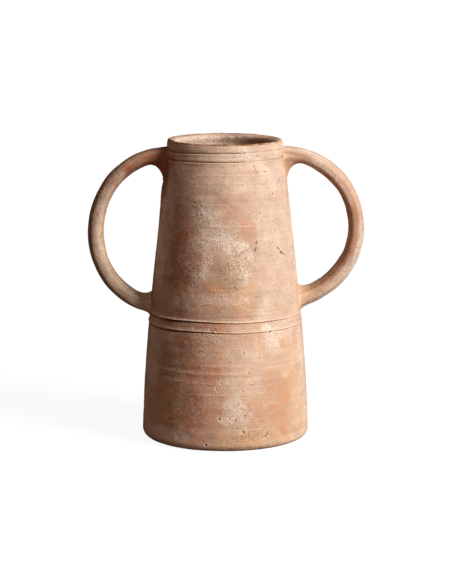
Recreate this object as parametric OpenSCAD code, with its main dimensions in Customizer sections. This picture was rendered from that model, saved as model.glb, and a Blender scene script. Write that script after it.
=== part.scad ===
/* [Body] */
// Height from the resting face to the top of the lip
height = 320; // [300:1:360]
// Diameter of the body at its foot, its widest place
foot_d = 178; // [172:1:190]
// Diameter of the body at the belt
belt_d = 164; // [158:1:168]
// Diameter that the straight upper wall reaches at the top of the lip
mouth_d = 122; // [114:1:130]
// How late the lower wall starts to lean in, where 1 is a straight cone
belly_power = 1.7; // [1:0.1:2.5]
// Thickness of the thrown wall, and of the lip
wall_t = 9.5; // [7:0.5:11]
// Thickness of the floor
floor_t = 10; // [9:0.5:14]
// Radius of the rounded edge under the foot
foot_round = 8; // [4:0.5:8.5]
// Radius of the lip's outer edge
lip_edge = 2.5; // [1.5:0.5:3]
// How much lower the lip's inner edge lies than its outer edge
lip_fall = 0.8; // [0:0.2:1.2]

/* [Bands and grooves] */
// Height of the seam under the belt
belt_z = 125; // [118:1:128]
// Height of the belt between its two seams
belt_h = 10.5; // [8:0.5:12]
// Height of the lip ring above its seam
lip_h = 10; // [8:0.5:12]
// Height of the neck band under the lip ring
neck_h = 9; // [7:0.5:11]
// Depth of the groove at each seam
groove_depth = 1.4; // [0.6:0.1:2]
// Height of the groove's slope under each seam
groove_h = 1.6; // [1:0.1:2]
// How far the edge above each seam stands proud of the wall
bead = 0.6; // [0:0.1:1]
// Height over which that edge fades into the wall
bead_h = 3; // [2:0.1:3.5]

/* [Handles] */
// Radius of a handle's arc, along the middle of the clay
handle_r = 83; // [80:0.5:85]
// Distance of the left handle's arc centre from the body's axis
left_x = 55; // [53:0.5:58]
// Height of the left handle's arc centre
left_z = 219.5; // [219:0.5:224.5]
// Distance of the right handle's arc centre from the body's axis
right_x = 56.5; // [53:0.5:58]
// Height of the right handle's arc centre, which sits a little higher than the left one
right_z = 224.5; // [219:0.5:224.5]
// Thickness of a handle, across its arc
handle_t = 17; // [14:0.5:19]
// Width of a handle, front to back
handle_w = 22; // [18:0.5:26]
// Squareness of the handle's section, where 2 is an ellipse
handle_power = 2.3; // [2:0.1:4]

/* [Handle roots] */
// Arc angle where a handle is joined to its top root
top_cut = 68; // [66:1:70]
// Arc angle where a handle is joined to its bottom root
bottom_cut = -55; // [-56:1:-52]
// How far the top root flares round its own middle, against the wall
top_flare_r = 16; // [14:0.5:16.5]
// How far below the arc the middle of the top flare lies
top_flare_drop = 8; // [7:0.5:9]
// How far the bottom root flares round its own middle, against the wall
bottom_flare_r = 15; // [13:0.5:17]
// How far above the arc the middle of the bottom flare lies
bottom_flare_lift = 2; // [0:0.5:3]
// Length of each flare, out from the wall
flare_length = 18; // [14:0.5:19]

/* [Hidden] */
$fn = 96;

foot_r = foot_d / 2;
belt_r = belt_d / 2;
mouth_r = mouth_d / 2;
// Radius of the lip's softer inner edge
lip_ease = wall_t / 2;
left_centre = [left_x, left_z];
right_centre = [right_x, right_z];
belt_top = belt_z + belt_h;
lip_z = height - lip_h;
neck_z = lip_z - neck_h;
seams = [belt_z, belt_top, neck_z, lip_z];
round_steps = 8;
wall_steps = 10;
section_steps = 28;
flare_steps = 8;
// Radius of a flare's tip, which ends inside the handle's clay
flare_tip_r = 5;
// How sharply a flare opens out against the wall
flare_power = 2.2;
// How far a root's clay reaches into the wall before it is trimmed to it
into_wall = 12;
// Arc angles that a handle's clay would reach inside the wall, before it is trimmed to it
arc_top = 98;
arc_bottom = -92;
clay = "#c99471";
pale_clay = "#d3a685";
red_clay = "#b97a5a";

// Radius of the wall's outside at height z, without its grooves
function outer_r(z) = z < belt_z
    ? foot_r - (foot_r - belt_r) * pow(z / belt_z, belly_power)
    : belt_r + (mouth_r - belt_r) * (z - belt_z) / (height - belt_z);

function inner_r(z) = outer_r(z) - wall_t;

// A quarter of a circle or more, as points from one angle to the other
function arc(centre, r, from, to, steps) =
    [for (i = [0:steps]) let (a = from + (to - from) * i / steps) centre + r * [cos(a), sin(a)]];

// The groove at a seam, with the proud edge of the ring above it
function seam_points(z) = [
    [outer_r(z - groove_h), z - groove_h],
    [outer_r(z) - groove_depth, z],
    [outer_r(z) + bead, z + bead],
    [outer_r(z + bead_h), z + bead_h],
];

// Heights at which the curved lower wall is drawn
function belly_heights(from, to) = [for (i = [0:wall_steps]) from + (to - from) * i / wall_steps];

// The whole outside of the body, from the resting face up to the top of the lip
outline = concat(
    arc([foot_r - foot_round, foot_round], foot_round, -90, 0, round_steps),
    [for (z = belly_heights(floor_t, belt_z - 2 * groove_h)) [outer_r(z), z]],
    [for (seam = seams) each seam_points(seam)],
    arc([outer_r(height - lip_edge) - lip_edge, height - lip_edge], lip_edge, 0, 90, round_steps));

// Outline of one ring of the wall between two heights
module ring_outline(from, to) {
    outside = [for (p = outline) if (p[1] >= from && p[1] <= to) p];
    curved = from < belt_z;
    inside = [for (z = curved ? belly_heights(to, from) : [to, from]) [inner_r(z), z]];
    polygon(concat(outside, inside));
}

module ring(from, to) {
    rotate_extrude() ring_outline(from, to);
}

// The body with its hollow filled, which trims the roots to the wall's own surface
module filled_body() {
    rotate_extrude() polygon(concat([[0, 0]], outline, [[0, height]]));
}

module base_disc() {
    edge = [for (p = outline) if (p[1] <= floor_t) p];
    color(red_clay) rotate_extrude() polygon(concat([[0, 0]], edge, [[0, floor_t]]));
}

module lower_wall() {
    color(clay) ring(floor_t, belt_z);
}

module belt_ring() {
    color(pale_clay) ring(belt_z, belt_top);
}

module upper_wall() {
    color(clay) ring(belt_top, neck_z);
}

module neck_band() {
    color(pale_clay) ring(neck_z, lip_z);
}

// The top ring, whose lip has a crisp outer edge and falls to a softer inner one
module lip_ring() {
    ease_z = height - lip_fall - lip_ease;
    outside = [for (p = outline) if (p[1] >= lip_z) p];
    eased = arc([inner_r(ease_z) + lip_ease, ease_z], lip_ease, 90, 180, round_steps);
    color(clay) rotate_extrude() polygon(concat(outside, eased, [[inner_r(lip_z), lip_z]]));
}

// A handle's section: an ellipse with its corners filled out
function section_point(a) = [
    handle_t / 2 * sign(cos(a)) * pow(abs(cos(a)), 2 / handle_power),
    handle_w / 2 * sign(sin(a)) * pow(abs(sin(a)), 2 / handle_power),
];

module handle_section() {
    polygon([for (i = [0:section_steps - 1]) section_point(360 * (i + 0.5) / section_steps)]);
}

// A stretch of a right handle's clay between two arc angles, from +X towards +Z
module handle_clay(centre, from, to) {
    translate([centre[0], 0, centre[1]])
        rotate([90, 0, 0])
        rotate([0, 0, from])
        rotate_extrude(angle = to - from)
        translate([handle_r, 0]) handle_section();
}

// A trumpet of clay round +Z, widest at z = 0, which goes on down into the wall
module flare(wall_r) {
    bell = [for (i = [0:flare_steps]) let (s = i / flare_steps)
        [flare_tip_r + (wall_r - flare_tip_r) * pow(1 - s, flare_power), flare_length * s]];
    rotate_extrude() polygon(concat([[0, -into_wall], [wall_r, -into_wall]], bell, [[0, flare_length]]));
}

// A flare that leaves the wall at height z, leaning up by an angle
module flare_at(z, wall_r, lean) {
    translate([outer_r(z), 0, z]) rotate([0, 90 - lean, 0]) flare(wall_r);
}

// Height at which a handle's arc crosses the wall, at the top (1) or at the bottom (-1)
function joint_z(centre, end) =
    let (near = centre[1] + end * handle_r * 0.97)
    centre[1] + end * sqrt(pow(handle_r, 2) - pow(outer_r(near) - centre[0], 2));

module top_root(centre) {
    difference() {
        union() {
            handle_clay(centre, top_cut, arc_top);
            flare_at(joint_z(centre, 1) - top_flare_drop, top_flare_r, 0);
        }
        filled_body();
    }
}

module bottom_root(centre) {
    z = joint_z(centre, -1);
    lean = asin((outer_r(z) - centre[0]) / handle_r);
    difference() {
        union() {
            handle_clay(centre, arc_bottom, bottom_cut);
            flare_at(z + bottom_flare_lift, bottom_flare_r, lean);
        }
        filled_body();
    }
}

module left_handle() {
    color(red_clay) mirror([1, 0, 0]) handle_clay(left_centre, bottom_cut, top_cut);
}

module right_handle() {
    color(red_clay) handle_clay(right_centre, bottom_cut, top_cut);
}

module left_top_root() {
    color(pale_clay) mirror([1, 0, 0]) top_root(left_centre);
}

module left_bottom_root() {
    color(pale_clay) mirror([1, 0, 0]) bottom_root(left_centre);
}

module right_top_root() {
    color(pale_clay) top_root(right_centre);
}

module right_bottom_root() {
    color(pale_clay) bottom_root(right_centre);
}

base_disc();
lower_wall();
belt_ring();
upper_wall();
neck_band();
lip_ring();
left_handle();
right_handle();
left_top_root();
left_bottom_root();
right_top_root();
right_bottom_root();
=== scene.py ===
"""The looks of a hand-thrown terracotta amphora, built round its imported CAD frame.

Each ring of the wall, each handle and each handle root is a clay piece of its own. Their surfaces share
one relief, a function of place, so that throwing rings, pits and gouges run on from piece to piece.
Lengths are in millimetres until a mesh is made. Angles round the body are in degrees: 0 faces the front
(-Y) and 90 the right handle (+X). Angles along a handle's arc start at its outermost point and rise
towards the lip.
"""

import math

import bpy
import numpy as np
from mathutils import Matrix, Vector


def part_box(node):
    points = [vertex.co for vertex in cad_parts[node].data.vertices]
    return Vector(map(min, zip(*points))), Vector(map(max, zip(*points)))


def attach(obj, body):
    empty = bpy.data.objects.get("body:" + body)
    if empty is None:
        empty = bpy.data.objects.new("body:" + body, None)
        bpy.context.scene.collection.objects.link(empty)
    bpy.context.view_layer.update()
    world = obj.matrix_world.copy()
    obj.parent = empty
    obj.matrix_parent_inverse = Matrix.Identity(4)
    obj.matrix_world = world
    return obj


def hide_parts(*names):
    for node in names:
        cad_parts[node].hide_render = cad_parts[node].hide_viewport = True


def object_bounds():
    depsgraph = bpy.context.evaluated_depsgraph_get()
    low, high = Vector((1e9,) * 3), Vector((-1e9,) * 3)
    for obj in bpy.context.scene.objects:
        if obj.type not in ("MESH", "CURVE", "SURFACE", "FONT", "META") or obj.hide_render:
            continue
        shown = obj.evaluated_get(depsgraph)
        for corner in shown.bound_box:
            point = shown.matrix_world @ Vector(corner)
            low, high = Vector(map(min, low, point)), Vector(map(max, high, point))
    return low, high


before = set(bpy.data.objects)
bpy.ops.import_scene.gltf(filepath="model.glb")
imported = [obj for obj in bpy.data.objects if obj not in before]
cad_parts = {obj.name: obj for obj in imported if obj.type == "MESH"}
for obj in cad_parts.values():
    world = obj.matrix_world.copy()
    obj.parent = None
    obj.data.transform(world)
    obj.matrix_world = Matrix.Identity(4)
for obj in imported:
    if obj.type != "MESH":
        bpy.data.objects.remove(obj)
cad_low, cad_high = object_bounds()

# ---- sizes, from the frame

METRE = 1000.0


def box_mm(node):
    """A CAD node's lowest and highest corners, in millimetres."""
    low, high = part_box(node)
    return np.array(low) * METRE, np.array(high) * METRE


# As in the part's source: sizes that the boxes of its nodes don't give
BEAD = 0.6
WALL = 9.5
BELLY_POWER = 1.7
FOOT_ROUND = 8.0
LIP_EDGE, LIP_EASE, LIP_FALL = 2.5, WALL / 2, 0.8
# How far the lip's right side has sunk
LIP_SAG = 0.8

HEIGHT = cad_high.z * METRE
FLOOR_Z = box_mm("lower_wall")[0][2]
SEAMS = [box_mm(node)[0][2] for node in ("belt_ring", "upper_wall", "neck_band", "lip_ring")]
BELT_Z, BELT_TOP, NECK_Z, LIP_Z = SEAMS
FOOT_R = box_mm("base_disc")[1][0]
BELT_R = box_mm("belt_ring")[1][0] - BEAD
LIP_R = box_mm("lip_ring")[1][0] - BEAD
LEAN = (BELT_R - LIP_R) / (LIP_Z - BELT_Z)


def wall_r(z):
    """Outside radius of the smooth wall at height z."""
    z = np.asarray(z, float)
    belly = FOOT_R - (FOOT_R - BELT_R) * (np.clip(z, 0, BELT_Z) / BELT_Z) ** BELLY_POWER
    return np.where(z < BELT_Z, belly, BELT_R - LEAN * (z - BELT_Z))


# ---- noise

def hashed(cell, seed):
    """A fixed number from -1 to 1 for each lattice cell."""
    x, y, z = (cell[..., i].astype(np.uint64) for i in range(3))
    mixed = x * np.uint64(374761393) + y * np.uint64(668265263) + z * np.uint64(2246822519)
    mixed = mixed + np.uint64(seed * 3266489917)
    mixed = (mixed ^ (mixed >> np.uint64(15))) * np.uint64(2654435761)
    mixed = (mixed ^ (mixed >> np.uint64(13))) * np.uint64(1274126177)
    return ((mixed >> np.uint64(16)) & np.uint64(0xFFFF)).astype(float) / 32767.5 - 1


def noise(points, size, seed):
    """Smooth noise from -1 to 1. Its bumps are about size across: one number, or one for each axis."""
    scaled = points / np.asarray(size, float) + 1000
    cell = np.floor(scaled).astype(np.int64)
    part = scaled - cell
    part = part * part * part * (part * (part * 6 - 15) + 10)
    total = np.zeros(points.shape[:-1])
    for corner in np.ndindex(2, 2, 2):
        share = np.prod(np.where(np.array(corner) == 1, part, 1 - part), axis=-1)
        total += share * hashed(cell + np.array(corner), seed)
    return total


def fractal(points, size, seed, octaves=3):
    """Noise with finer and weaker layers added to it."""
    size = np.asarray(size, float)
    return sum(noise(points, size / 2**i, seed + i) / 2**i for i in range(octaves)) / 1.6


def ramp(value, low, high):
    """0 below low, 1 above high, and a smooth rise between."""
    t = np.clip((value - low) / (high - low), 0, 1)
    return t * t * (3 - 2 * t)


# ---- marks in the clay

# Pits: angle round the body, height, radius, depth
PITS = [
    (47.7, 267, 1.5, 1), (-28.5, 260, 0.9, 0.5), (-21.9, 256, 1.1, 0.5), (33.6, 210.6, 1.1, 0.8),
    (16.2, 202.5, 1.4, 0.7), (4.5, 214.6, 0.9, 0.6), (7.6, 222.9, 0.9, 0.7), (28.4, 216.5, 0.8, 0.5),
    (23.2, 205.8, 0.9, 0.6), (-15.4, 162.6, 0.9, 0.7), (-3.6, 162.7, 0.9, 0.8), (-0.5, 164.6, 0.9, 0.6),
    (34.6, 125.2, 1.5, 1), (40.9, 121, 1.2, 0.8), (13.5, 104.6, 1.6, 0.6), (25.1, 98.4, 1.1, 0.7),
    (-12.4, 101.9, 0.9, 0.6), (16.9, 83.7, 1, 0.7), (-2.9, 73.6, 1.1, 0.6), (-6.1, 68.2, 1.1, 0.7),
    (-38.6, 77.4, 1.1, 0.7), (46.4, 104.4, 1.3, 0.4), (-4, 36.2, 1.6, 1.1), (2.7, 36, 1.3, 0.8),
    (18.5, 37.5, 1, 0.8), (19.9, 37.3, 0.9, 0.7), (-27.9, 53.2, 0.9, 0.7), (-13.4, 7.5, 1.4, 0.8),
    (51, 8.6, 1.2, 0.7), (12.4, 21.4, 1.4, 0.7), (28.2, 15.9, 1.7, 0.8), (30, 17.5, 1.3, 0.7),
    (26.2, 13.2, 1.2, 0.6), (14.8, 277.9, 1.2, 0.5), (27.8, 296.9, 1.4, 0.5),
]
# Gouges: where each starts and ends, as angle and height, then its half width and depth
GOUGES = [
    (48.3, 211.4, 51.8, 207.6, 0.9, 1.3), (52, 206.8, 57.3, 201.9, 0.9, 1.4),
    (50.5, 205.2, 54, 204, 0.8, 0.8), (27.2, 220, 26.4, 216, 0.9, 1), (26.2, 213.5, 24.2, 209, 0.9, 1.1),
    (45.6, 238.4, 53.6, 240.4, 0.6, 0.5), (46.5, 235, 51, 237.5, 0.5, 0.4),
    (-22.4, 249, -19, 245.5, 0.7, 0.4), (22.2, 162.6, 28.1, 162, 0.7, 0.5),
    (-27, 178.5, -24.6, 174.6, 0.6, 0.5), (-5.1, 121.5, -0.9, 117.9, 0.8, 0.5),
    (15.6, 71.8, 20, 71.3, 0.6, 0.7), (-43.2, 31.4, -40, 30.6, 0.8, 1), (7.4, 37.5, 5.6, 31, 0.6, 0.5),
    (8.8, 37.5, 6.4, 33, 0.6, 0.5), (27.8, 298, 30.5, 289.8, 0.9, 0.4), (10.8, 24, 14, 19, 0.8, 0.6),
    (-12, 130.5, -8.5, 126, 0.8, 0.6), (-9, 129.5, -5.5, 128.5, 0.7, 0.5),
    (-35, 132, -33.4, 129.6, 0.6, 0.6), (7, 172, 10, 170, 0.8, 0.5), (6, 178, 8, 171.5, 0.7, 0.5),
    (-1, 200, 2.5, 193, 0.7, 0.4), (9, 196, 12.5, 189, 0.7, 0.4),
]
# Nicks in the lip's edge: angle, length along the edge, depth
NICKS = [
    (-36, 1.8, 0.7), (-32.5, 1.6, 0.9), (-30.5, 1.2, 0.6), (-27, 1.2, 0.4), (-66, 3, 0.4), (81, 2.2, 1.4),
    (62, 2.2, 0.3), (140, 3, 0.8), (-120, 2.6, 0.7), (-155, 3.4, 0.6), (178, 2.2, 0.8),
]
# Scuffed areas, with many short scratches: angle, height, reach round and up, how many
SCUFFS = [
    (6, 190, 13, 17, 70), (8, 214, 12, 9, 26), (12, 44, 10, 10, 26), (20, 18, 18, 9, 30),
    (-24, 250, 9, 12, 10), (150, 215, 18, 22, 50), (-130, 70, 20, 16, 40), (100, 60, 16, 18, 30),
]
# Shares of their listed sizes at which pits and gouges are cut
PIT_SIZE, GOUGE_SIZE = 0.72, 0.8
# Angle where the front, whose marks are listed above, gives way to the sides and back
FRONT = 80
# More pits: how many, between which angles, and their least and greatest radius and depth
MORE_PITS = [(110, FRONT, 360 - FRONT, 0.8, 1.6, 0.4, 1), (24, -FRONT, FRONT, 0.5, 0.9, 0.2, 0.5)]
BACK_GOUGES = 46

random = np.random.default_rng(7)


def scattered_marks():
    """Pits and gouges for the sides and back, and thinly over the front."""
    pits, gouges = [], []
    for count, start, end, small, large, shallow, deep in MORE_PITS:
        for _ in range(count):
            angle, z = random.uniform(start, end), random.uniform(6, 298)
            pits.append((angle, z, random.uniform(small, large), random.uniform(shallow, deep)))
    for _ in range(BACK_GOUGES):
        angle, z = random.uniform(FRONT, 360 - FRONT), random.uniform(8, 295)
        gouges.append((angle, z, angle + random.uniform(-5, 5), z + random.uniform(-7, 7),
                       random.uniform(0.6, 0.9), random.uniform(0.3, 0.8)))
    for centre, height, reach, rise, count in SCUFFS:
        for _ in range(count):
            angle = centre + reach * random.normal() * 0.5
            z = height + rise * random.normal() * 0.5
            turn, length = random.uniform(0, math.tau), random.uniform(1.5, 5.0)
            gouges.append((angle, z, angle + length * math.cos(turn), z + length * math.sin(turn), 0.6,
                           random.uniform(0.15, 0.4)))
    return pits, gouges


more_pits, more_gouges = scattered_marks()
ALL_PITS = PITS + more_pits
ALL_GOUGES = GOUGES + more_gouges


def turned(angle, centre):
    """Signed angle from centre, from -180 to 180."""
    return (angle - centre + 180) % 360 - 180


def mark_relief(angle, z, r):
    """Depth of the pits and gouges in the body, negative into the clay."""
    relief = np.zeros(z.shape)
    ragged = 1 + 0.6 * noise(body_point(angle, r, z), 1.7, 21)
    for centre, height, size, depth in ALL_PITS:
        size = size * PIT_SIZE
        near = np.abs(z - height) < 5 * size
        near &= np.abs(turned(angle, centre)) < 12
        across = np.radians(turned(angle[near], centre)) * r[near]
        d = np.hypot(across, z[near] - height) / size * ragged[near]
        relief[near] += depth * (0.25 * np.exp(-((d - 1.9) / 0.6) ** 2) - np.exp(-(d**2)))
    for a0, z0, a1, z1, size, depth in ALL_GOUGES:
        middle, reach = (a0 + a1) / 2, abs(turned(a1, a0)) / 2 + 6
        near = np.abs(z - (z0 + z1) / 2) < abs(z1 - z0) / 2 + 4 * size
        near &= np.abs(turned(angle, middle)) < reach
        x = np.radians(turned(angle[near], middle)) * r[near]
        half = np.radians(a1 - a0) / 2 * np.mean(r[near]) if near.any() else 0
        along = np.array([half, (z1 - z0) / 2])
        offset = np.stack([x, z[near] - (z0 + z1) / 2], -1)
        share = np.clip(offset @ along / (along @ along + 1e-9), -1, 1)
        side = offset - share[:, None] * along
        d = np.hypot(side[:, 0], side[:, 1]) / size * ragged[near] / GOUGE_SIZE
        fade = 1 - 0.6 * share**2
        burr = 0.35 * np.exp(-((d - 1.6) / 0.5) ** 2) * (side[:, 1] > 0)
        relief[near] += depth * fade * (burr - np.exp(-(d**2)))
    return relief


def nick_relief(angle, r):
    """Chips along the lip's outer edge."""
    relief = np.zeros(angle.shape)
    for centre, length, depth in NICKS:
        across = np.radians(turned(angle, centre)) * r
        relief -= depth * np.exp(-((across / length * 2) ** 2))
    return relief


# A groove's shape across a seam: height from the seam, share of its depth, share of its bead
GROOVE_T = [-2.6, -1.4, -0.8, -0.35, 0.0, 0.4, 0.9, 1.7, 3.2]
GROOVE_CUT = [0.0, -0.25, -0.8, -1.0, -0.75, 0.0, 0.0, 0.0, 0.0]
GROOVE_BEAD = [0.0, 0.0, 0.0, 0.0, 0.2, 0.95, 1.0, 0.35, 0.0]
# For the groove at each seam: its depth, its bead, and whether the bead is above it (1) or below it (-1)
GROOVES = list(zip(SEAMS, (1.25, 1.5, 1.1, 1.0), (0.6, 0.75, 0.45, 0.5), (1, 1, -1, -1)))
# Faint turned lines: height, depth, half width, and the angles between which they show. A line of
# negative depth stands proud.
LINES = [
    (314.9, -0.35, 0.7, -75, -20), (313.3, 0.55, 0.6, -75, -34), (306.2, 0.35, 0.7, -16, 20),
    (304, -0.25, 0.8, -75, -30), (270, 0.2, 0.8, -20, 15), (239, -0.6, 0.5, -20, 45),
    (236, -1.1, 0.5, -22, 30), (228, 0.2, 0.7, -10, 30), (165.5, -0.4, 0.6, -20, 25),
    (160, -0.5, 0.8, -30, 26), (156, -0.35, 0.7, -30, 20), (150.5, 0.3, 0.8, -50, 40),
    (148.2, -0.25, 0.7, -40, 60), (144.5, 0.3, 0.6, -50, 0), (140.9, 0.4, 0.6, -80, 40),
    (139.7, -0.35, 0.6, -80, 60), (131.9, 0.45, 0.5, -70, 60), (130.7, -0.35, 0.5, -70, 60),
    (129.4, 0.4, 0.5, -60, 70), (127.8, -0.3, 0.6, -60, 40), (115, -0.35, 2.2, -64, -36),
    (108.5, -0.2, 1.2, -30, 8), (103.5, -0.45, 1.6, -64, -16), (97.5, 0.4, 1.8, -64, -8),
    (91.5, -0.3, 1.2, -40, 16), (87, 0.35, 1.6, -60, 10), (82.8, -0.5, 1, -64, 26),
    (77.5, 0.35, 1.9, -60, 0), (72.7, -0.4, 1, -62, 18), (66.5, 0.3, 1.4, -64, -30),
    (60, -0.25, 1.2, -30, 12), (51, 0.2, 1.4, -60, -20), (42, -0.2, 1.2, -64, -30),
    (33, -0.25, 1.3, -64, -34), (26, 0.3, 1.6, -60, -10), (18.5, -0.2, 1.2, -40, 10),
    (306, 0.3, 0.8, 120, 220), (240, 0.25, 0.8, 150, 240), (180, -0.25, 0.8, 110, 200),
    (130.5, 0.3, 0.6, 100, 250), (104, -0.4, 1.4, 110, 230), (90, 0.3, 1.2, 120, 260),
    (82, -0.4, 1.2, 80, 200), (60, 0.3, 1.6, 90, 220),
]
# Where the turned lines rise or fall: height, rise, angle of its middle, reach round
WANDERS = [(130.0, 2.0, -20, 24), (301.0, -0.6, -58, 36), (312.0, -1.4, -58, 38)]


def wander(angle, height):
    """How far a turned line at a height rises or falls, at an angle round the body."""
    return sum(rise * np.exp(-((turned(angle, middle) / reach) ** 2) - ((height - at) / 10) ** 2)
               for at, rise, middle, reach in WANDERS)


def shallowness(angle):
    """How much the grooves at the seams fade, from 0 to 1: most of all at the front right."""
    return ramp(-np.abs(turned(angle, 58)), -36, -14)


def boldness(angle, z):
    """How much deeper and wider the belt's grooves grow, from 0 to 1: most of all at the front left."""
    return ramp(-np.abs(turned(angle, -60)), -44, -8) * (z < (BELT_TOP + NECK_Z) / 2)


def groove_relief(angle, z, place):
    """The grooves and beads at the seams."""
    relief = np.zeros(z.shape)
    bold = boldness(angle, z)
    uneven = 1 + 0.35 * noise(place, (26, 26, 400), 31)
    uneven = uneven * (1 - 0.5 * shallowness(angle)) * (1 + 0.5 * bold)
    shake = 0.35 * noise(place, (40, 40, 400), 32)
    for seam, depth, bead, way in GROOVES:
        t = (z - seam - wander(angle, seam) + shake) * way / (1 + 0.25 * bold)
        cut = depth * np.interp(t, GROOVE_T, GROOVE_CUT)
        relief += uneven * (cut + bead * np.interp(t, GROOVE_T, GROOVE_BEAD))
    drift = noise(place, (30, 30, 400), 34)
    broken = 0.55 + 0.45 * noise(place, (18, 18, 6), 35)
    for height, depth, width, start, end in LINES:
        middle, reach = (start + end) / 2, (end - start) / 2
        shown = broken * ramp(-np.abs(turned(angle, middle)), -reach, -reach + 14)
        off = z - height - wander(angle, height) + 0.4 * drift
        relief -= depth * shown * np.exp(-((off / width) ** 2))
    return relief


def throwing_relief(place):
    """Fine rings left by the fingers and the rib as the pot turned."""
    fine = noise(place, (70, 70, 1.9), 41) * 0.05
    rings = noise(place, (90, 90, 4.2), 42) * 0.10
    broad = noise(place, (140, 140, 11), 43) * 0.16
    where = 0.45 + 0.55 * ramp(noise(place, (50, 50, 30), 44), -0.3, 0.5)
    return (fine + rings + broad) * where


def grain_relief(place):
    """The gritty skin of the clay, and its slow unevenness."""
    rough = 0.35 + 0.65 * ramp(noise(place, 35, 51), -0.4, 0.5)
    grit = 0.07 * noise(place, 2.4, 52) + 0.09 * noise(place, 5.0, 53)
    return rough * grit + 0.35 * noise(place, 55, 54)


def body_point(angle, r, z):
    """Points at angles round the body's axis, at a distance from it and a height."""
    a = np.radians(angle)
    return np.stack([r * np.sin(a), -r * np.cos(a), z], -1)


def smear_relief(angle, z, r, place):
    """The clay smeared down the wall below the handles' top roots, which is thick on the left only."""
    relief = np.zeros(z.shape)
    for side, thick in ((-1, 1.3), (1, 0.0)):
        across = np.radians(turned(angle, side * 90)) * r
        smear = np.exp(-((across / 20) ** 2) - ((z - 268) / 20) ** 2)
        relief += smear * (0.7 * noise(place, (5, 5, 24), 35 + side) + thick)
    return relief


def crease_relief(angle, z, r, place):
    """A broken crease in the wall round each handle root."""
    relief = np.zeros(z.shape)
    broken = 0.35 + 0.65 * ramp(noise(place, 6, 36), -0.4, 0.4)
    for side, word in ((-1, "left"), (1, "right")):
        across = np.radians(turned(angle, side * 90)) * r
        for end in (1, -1):
            shape = ROOTS[side, end]
            rise = end * (z - joint_height(handle_centre(word, side), end, side))
            tall = np.where(rise > 0, shape["outer"], shape["inner"])
            reach = np.hypot(across / shape["across"], rise / tall)
            away = (reach - 1) * shape["across"]
            relief -= (1.3 if side < 0 else 0.7) * broken * np.exp(-((away / 1.1) ** 2))
    return relief


def outside_relief(angle, z):
    """All that stands out of the smooth wall or is cut into it, then its marks and its grooves alone."""
    r = wall_r(z)
    place = body_point(angle, r, z)
    marks = mark_relief(angle, z, r) + crease_relief(angle, z, r, place)
    grooves = groove_relief(angle, z, place)
    smooth = smear_relief(angle, z, r, place) + throwing_relief(place) + grain_relief(place)
    return marks + grooves + smooth, marks, grooves


# ---- colour patches

# Patches on the body: angle, height, reach round, reach up, strength
BLOOM = [
    (-66, 214, 14, 44, 1.4), (-59, 252, 10, 24, 1.3), (-59, 274, 7, 8, 0.9), (-50, 292, 9, 10, 0.9),
    (-18, 222, 12, 14, 0.6), (-14, 242, 14, 18, 0.55), (-50, 304, 8, 5, 0.6), (-50, 146, 12, 7, 0.4),
    (-70, 112, 9, 14, 1.0), (-61, 78, 9, 20, 0.8), (-20, 252, 8, 6, 0.5), (-6, 223, 12, 8, 0.8),
    (9, 213, 12, 7, 1.0), (18, 206, 8, 5, 0.7), (-17, 198, 4, 15, 0.5), (-20, 183, 7, 6, 0.5),
    (15, 190, 5, 14, 0.5), (37, 215, 12, 100, 0.3), (31, 149, 9, 12, 0.5), (32, 129, 5, 4, 1.2),
    (20, 306, 14, 8, 0.5), (42, 280, 14, 20, 0.45), (2, 158, 28, 4, 0.25), (-44, 154, 9, 8, 0.65),
    (17, 312, 8, 6, 0.9), (-4, 306, 26, 5, 0.35), (-38, 276, 14, 22, 0.2), (60, 215, 26, 100, 0.25),
    (2, 309, 34, 7, 0.35), (70, 268, 8, 20, 0.3), (16, 275, 22, 14, 0.3), (-62, 210, 16, 42, 0.6),
    (-68, 95, 12, 26, 0.75), (-62, 106, 7, 7, 0.8), (-50, 121, 10, 4, 0.6),
    (1, 122, 10, 4, 0.3), (36, 128, 6, 6, 0.7), (37, 110, 8, 14, 0.6), (5, 45, 9, 13, 0.7),
    # The last patch on the next line, at the foot on the left, is painted light thrown back from the floor
    (14, 38, 8, 8, 0.5), (14, 84, 14, 32, 0.35), (76, 92, 11, 46, 0.5), (-50, 13, 16, 7, 1.1),
    (-72, 50, 8, 40, 0.5), (45, 128, 18, 14, 0.45), (35, 143, 12, 8, 0.5),
]
RUST = [
    (-37, 238, 11, 24, 1.3), (-36, 186, 13, 20, 1.4), (-26, 200, 9, 16, 1.1), (-28, 145, 28, 8, 1.0),
    (-8, 143, 30, 8, 0.8), (-12, 171, 22, 7, 0.6), (-40, 214, 11, 54, 1.2), (-24, 284, 18, 18, 0.3),
    (-1, 264, 13, 13, 0.5), (7, 250, 9, 13, 0.65), (20, 233, 8, 12, 0.9), (29, 188, 5, 20, 0.4),
    (29, 256, 6, 16, 0.2), (14, 265, 10, 6, 0.4), (-77, 276, 11, 28, 1.2), (84, 272, 10, 18, 0.7),
    (78, 152, 8, 20, 0.5), (-20, 131, 22, 6, 0.6), (-27, 117, 13, 9, 1.5), (-26, 97, 11, 18, 1.4),
    (-22, 44, 12, 34, 1.4), (-14, 80, 14, 22, 0.9), (-5, 66, 8, 18, 0.4), (40, 48, 12, 34, 0.4),
    (33, 68, 6, 18, 0.35), (-30, 60, 10, 40, 0.7), (29, 293, 4, 5, 0.5), (-22, 142, 30, 22, 0.95),
    (-20, 72, 24, 74, 0.7), (-28, 14, 12, 8, 1.3), (-60, 305, 10, 6, 0.7), (-60, 148, 6, 6, 0.6),
    (-4, 192, 8, 13, 0.4), (4, 152, 30, 18, 0.3), (-34, 205, 16, 60, 0.55), (-22, 15, 22, 9, 0.7),
    (6, 108, 14, 20, 0.15), (-6, 32, 24, 20, 0.4), (-2, 110, 18, 16, 0.3),
]
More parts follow.
